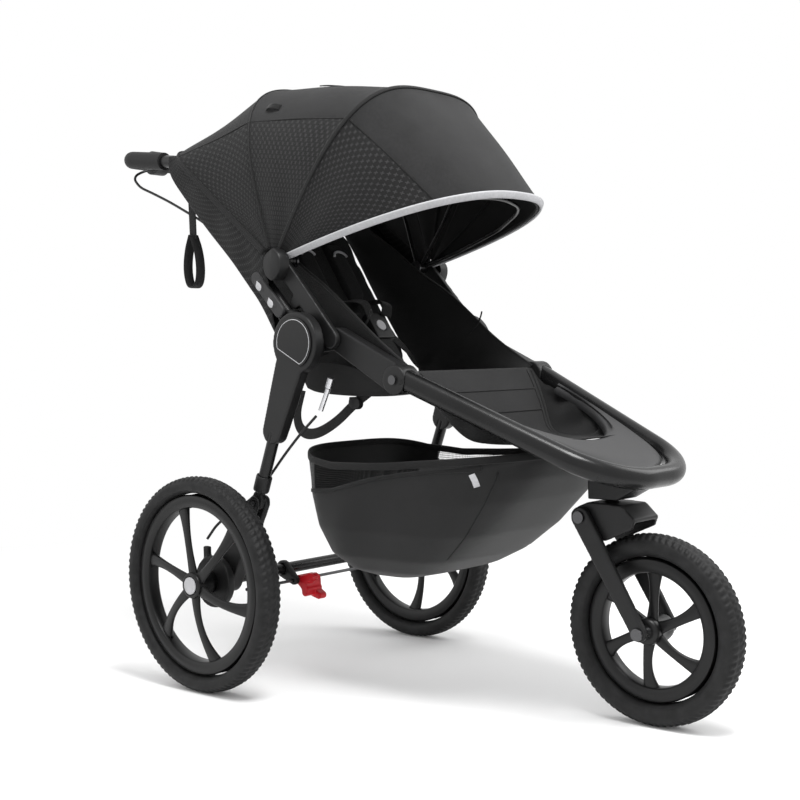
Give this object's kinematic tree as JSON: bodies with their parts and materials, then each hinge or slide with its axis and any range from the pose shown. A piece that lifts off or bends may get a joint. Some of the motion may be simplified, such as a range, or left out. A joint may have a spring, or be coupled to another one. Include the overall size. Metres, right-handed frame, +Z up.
{
  "type": "jogging stroller",
  "caption": "Folding jogging stroller with air tyres, a swivel front wheel, adjustable canopy, reclining padded seat, harness and under-seat basket.",
  "frame": {"origin": "on the floor, midway between the rear wheels, straight below the rear axle", "axes": "+X forward, +Y to the rider's left, +Z up"},
  "size_m": [1.253, 0.648, 1.1226],
  "materials": {
    "frame_black": "satin black powder coat",
    "moulded_black": "fine textured moulding",
    "moulded_grey": "dark grey moulding",
    "rim_black": "satin moulded rim",
    "tyre": "black rubber",
    "grip_rubber": "soft rubber",
    "fabric_dark": "woven charcoal",
    "fabric_seat": "woven black",
    "fabric_basket": "coated nylon",
    "webbing": "woven webbing",
    "bright_metal": "zinc plated",
    "axle_metal": "dark plated",
    "badge_black": "plain inlay with a light edge",
    "reflective": "reflective tape",
    "pedal_red": "red moulding",
    "button_silver": "silver grey moulding"
  },
  "bodies": {
    "front_frame": {"front_loop_tube": "frame_black", "nose_plate": "moulded_grey", "side_castings": "moulded_black", "casting_bolts": "axle_metal", "steering_head": "moulded_black", "seat_base": "fabric_seat", "seat_sides": "fabric_seat", "calf_panel": "fabric_seat", "foot_well": "fabric_seat", "basket": "fabric_basket", "basket_rim": "webbing", "crotch_strap": "webbing", "buckle": "moulded_black", "cable_adjuster": "bright_metal"},
    "buckle_button_body": {"buckle_button": "moulded_grey"},
    "handle": {"hinge_cores": "moulded_black", "handle_tube": "frame_black", "handle_grip": "grip_rubber", "upper_arms": "moulded_black", "canopy_rails": "moulded_grey", "brake_lever_housing": "moulded_black", "brake_cable_upper": "grip_rubber", "wrist_strap": "webbing"},
    "brake_lever_body": {"brake_lever": "moulded_black"},
    "canopy_carrier": {"canopy_hubs": "axle_metal", "canopy_rear_bow": "frame_black", "canopy_back_panel": "fabric_dark", "canopy_roof": "fabric_dark"},
    "canopy_mid": {"canopy_mid_bow": "frame_black", "canopy_visor": "fabric_dark"},
    "canopy_front": {"canopy_front_bow": "frame_black"},
    "seat_back_body": {"seat_back": "fabric_seat", "back_board": "moulded_black", "shoulder_pads": "fabric_seat", "chest_clip": "moulded_black"},
    "rear_legs": {"leg_housings": "moulded_black", "hinge_badges": "badge_black", "hinge_pins": "axle_metal", "leg_tubes": "frame_black", "leg_sleeves": "moulded_black", "brake_cable_lower": "grip_rubber"},
    "rear_axle": {"axle_brackets": "moulded_black", "suspension_pins": "axle_metal", "axle_tube": "frame_black", "stub_axles": "axle_metal", "brake_plates": "moulded_black", "brake_rod": "axle_metal"},
    "brake_pedal_body": {"brake_pedal": "pedal_red"},
    "rear_wheel_left": {"rear_tyre_left": "tyre", "rear_rim_left": "rim_black"},
    "hub_button_left_body": {"hub_button_left": "button_silver"},
    "rear_wheel_right": {"rear_tyre_right": "tyre", "rear_rim_right": "rim_black"},
    "hub_button_right_body": {"hub_button_right": "button_silver"},
    "swivel": {"swivel_housing": "moulded_black"},
    "fork": {"fork_arms": "moulded_black", "front_axle": "axle_metal", "fork_bolts": "axle_metal"},
    "front_wheel": {"front_tyre": "tyre", "front_rim": "rim_black"}
  },
  "joints": [
    {"name": "frame_fold", "type": "hinge", "parent": "front_frame", "child": "handle", "pos_m": [0.211, 0, 0.634], "axis": [0, 1, 0], "range_deg": [0, 115], "deforming": ["basket", "seat_sides", "canopy_back_panel", "canopy_roof", "canopy_visor", "seat_base"]},
    {"name": "leg_fold", "type": "hinge", "parent": "front_frame", "child": "rear_legs", "pos_m": [0.211, 0, 0.634], "axis": [0, 1, 0], "range_deg": [-54.05, 0]},
    {"name": "canopy_follow", "type": "hinge", "parent": "handle", "child": "canopy_carrier", "pos_m": [0.136, 0, 0.786], "axis": [0, 1, 0], "range_deg": [-86.5, 0]},
    {"name": "canopy_fold", "type": "hinge", "parent": "canopy_carrier", "child": "canopy_mid", "pos_m": [0.136, 0, 0.786], "axis": [0, 1, 0], "range_deg": [-47, 0], "deforming": ["canopy_roof", "canopy_visor"]},
    {"name": "visor_fold", "type": "hinge", "parent": "canopy_mid", "child": "canopy_front", "pos_m": [0.136, 0, 0.786], "axis": [0, 1, 0], "range_deg": [-33, 0]},
    {"name": "seat_recline", "type": "hinge", "parent": "front_frame", "child": "seat_back_body", "pos_m": [0.158, 0, 0.556], "axis": [0, 1, 0], "range_deg": [-30, 0]},
    {"name": "rear_suspension", "type": "hinge", "parent": "rear_legs", "child": "rear_axle", "pos_m": [0.093, 0, 0.346], "axis": [0, 1, 0], "range_deg": [0, 6], "stiffness_Nm_per_rad": 60, "springref_deg": -20.05},
    {"name": "brake_pedal_press", "type": "hinge", "parent": "rear_axle", "child": "brake_pedal_body", "pos_m": [0.03, 0, 0.178], "axis": [0, 1, 0], "range_deg": [0, 22]},
    {"name": "rear_wheel_left_spin", "type": "hinge", "parent": "rear_axle", "child": "rear_wheel_left", "pos_m": [0, 0.297, 0.198], "axis": [0, 1, 0], "continuous": true},
    {"name": "rear_wheel_right_spin", "type": "hinge", "parent": "rear_axle", "child": "rear_wheel_right", "pos_m": [0, -0.297, 0.198], "axis": [0, 1, 0], "continuous": true},
    {"name": "hub_release_left", "type": "slide", "parent": "rear_wheel_left", "child": "hub_button_left_body", "axis": [0, -1, 0], "range_m": [0, 0.004], "stiffness_N_per_m": 500, "springref_m": -0.002},
    {"name": "hub_release_right", "type": "slide", "parent": "rear_wheel_right", "child": "hub_button_right_body", "axis": [0, 1, 0], "range_m": [0, 0.004], "stiffness_N_per_m": 500, "springref_m": -0.002},
    {"name": "front_swivel", "type": "hinge", "parent": "front_frame", "child": "swivel", "pos_m": [0.699, 0, 0.36], "axis": [0, 0, 1], "continuous": true},
    {"name": "front_suspension", "type": "hinge", "parent": "swivel", "child": "fork", "pos_m": [0.668, 0, 0.335], "axis": [0, 1, 0], "range_deg": [-4, 0], "stiffness_Nm_per_rad": 60, "springref_deg": 17.19},
    {"name": "front_wheel_spin", "type": "hinge", "parent": "fork", "child": "front_wheel", "pos_m": [0.774, 0, 0.155], "axis": [0, 1, 0], "continuous": true},
    {"name": "brake_lever_squeeze", "type": "hinge", "parent": "handle", "child": "brake_lever_body", "pos_m": [-0.264, -0.131, 1.012], "axis": [0, 0, 1], "range_deg": [0, 8], "stiffness_Nm_per_rad": 2, "springref_deg": -2.86},
    {"name": "buckle_press", "type": "slide", "parent": "front_frame", "child": "buckle_button_body", "axis": [-0.8484, 0, -0.5293], "range_m": [0, 0.003], "stiffness_N_per_m": 500, "springref_m": -0.002}
  ],
  "couplings": [
    {"joint": "leg_fold", "follows": "frame_fold", "ratio": -0.47},
    {"joint": "canopy_follow", "follows": "frame_fold", "ratio": -0.75},
    {"joint": "visor_fold", "follows": "canopy_fold", "ratio": 0.7}
  ]
}
